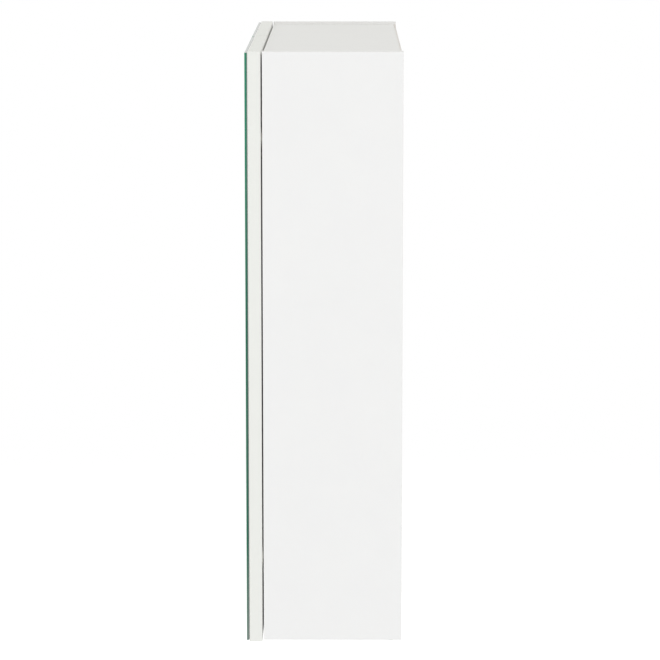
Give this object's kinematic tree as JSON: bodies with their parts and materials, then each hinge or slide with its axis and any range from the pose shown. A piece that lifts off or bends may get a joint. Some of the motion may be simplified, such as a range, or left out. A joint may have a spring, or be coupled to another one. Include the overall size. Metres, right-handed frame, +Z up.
{
  "type": "mirror cabinet",
  "caption": "Wall-hung white bathroom cabinet with mirror doors on concealed cup hinges, glass shelves on pins and a hanging strip for wall screws.",
  "frame": {"origin": "on the wall plane, midway between the two wall screw holes in the hanging strip", "axes": "+X to the right as seen from the room, +Y from the room into the wall, +Z up; the mirrors face -Y"},
  "size_m": [0.6, 0.1889, 0.72],
  "materials": {
    "white_board": "white melamine-faced chipboard, satin",
    "edge_band": "white edge band, satin",
    "back_board": "white painted hardboard",
    "mirror_glass": "silvered float glass, polished edges",
    "adhesive": "mounting adhesive film",
    "shelf_glass": "clear float glass, ground edges",
    "zinc": "zinc die casting",
    "screw_steel": "zinc-plated steel",
    "hinge_steel": "nickel-plated steel",
    "beech": "bare beech",
    "white_plastic": "moulded white plastic",
    "bumper_rubber": "clear soft polyurethane"
  },
  "bodies": {
    "carcass": {"side_left": "white_board", "side_right": "white_board", "side_band_left": "edge_band", "side_band_right": "edge_band", "top_panel": "white_board", "bottom_panel": "white_board", "panel_bands": "edge_band", "back_panel": "back_board", "back_nails": "screw_steel", "hanging_strip": "white_board", "cam_locks": "zinc", "cam_bolts": "screw_steel", "cam_caps": "white_plastic", "dowels": "beech", "bottom_pads": "white_plastic", "shelf_pins_lower": "zinc", "shelf_pins_upper": "zinc", "hinge_arm_left_lower": "hinge_steel", "hinge_arm_left_upper": "hinge_steel", "hinge_arm_right_lower": "hinge_steel", "hinge_arm_right_upper": "hinge_steel", "hinge_plate_left_lower": "hinge_steel", "hinge_plate_left_upper": "hinge_steel", "hinge_plate_right_lower": "hinge_steel", "hinge_plate_right_upper": "hinge_steel", "plate_screws": "screw_steel", "arm_screws": "screw_steel"},
    "door_left": {"door_board_left": "white_board", "door_band_left": "edge_band", "mirror_film_left": "adhesive", "mirror_left": "mirror_glass", "door_bumpers_left": "bumper_rubber", "hinge_cup_left_lower": "hinge_steel", "hinge_cup_left_upper": "hinge_steel", "hinge_pins_left": "screw_steel", "cup_screws_left": "screw_steel"},
    "door_right": {"door_board_right": "white_board", "door_band_right": "edge_band", "mirror_film_right": "adhesive", "mirror_right": "mirror_glass", "door_bumpers_right": "bumper_rubber", "hinge_cup_right_lower": "hinge_steel", "hinge_cup_right_upper": "hinge_steel", "hinge_pins_right": "screw_steel", "cup_screws_right": "screw_steel"},
    "shelf_lower": {"shelf_lower": "shelf_glass"},
    "shelf_upper": {"shelf_upper": "shelf_glass"}
  },
  "joints": [
    {"name": "left_door_hinge", "type": "hinge", "parent": "carcass", "child": "door_left", "pos_m": [-0.29361, -0.1802, -0.31], "axis": [0, 0, -1], "range_deg": [0, 95]},
    {"name": "right_door_hinge", "type": "hinge", "parent": "carcass", "child": "door_right", "pos_m": [0.29361, -0.1802, -0.31], "axis": [0, 0, 1], "range_deg": [0, 95]},
    {"name": "lower_shelf_lift", "type": "slide", "parent": "carcass", "child": "shelf_lower", "axis": [0, 0, 1], "range_m": [0, 0.03]},
    {"name": "upper_shelf_lift", "type": "slide", "parent": "carcass", "child": "shelf_upper", "axis": [0, 0, 1], "range_m": [0, 0.03]}
  ]
}
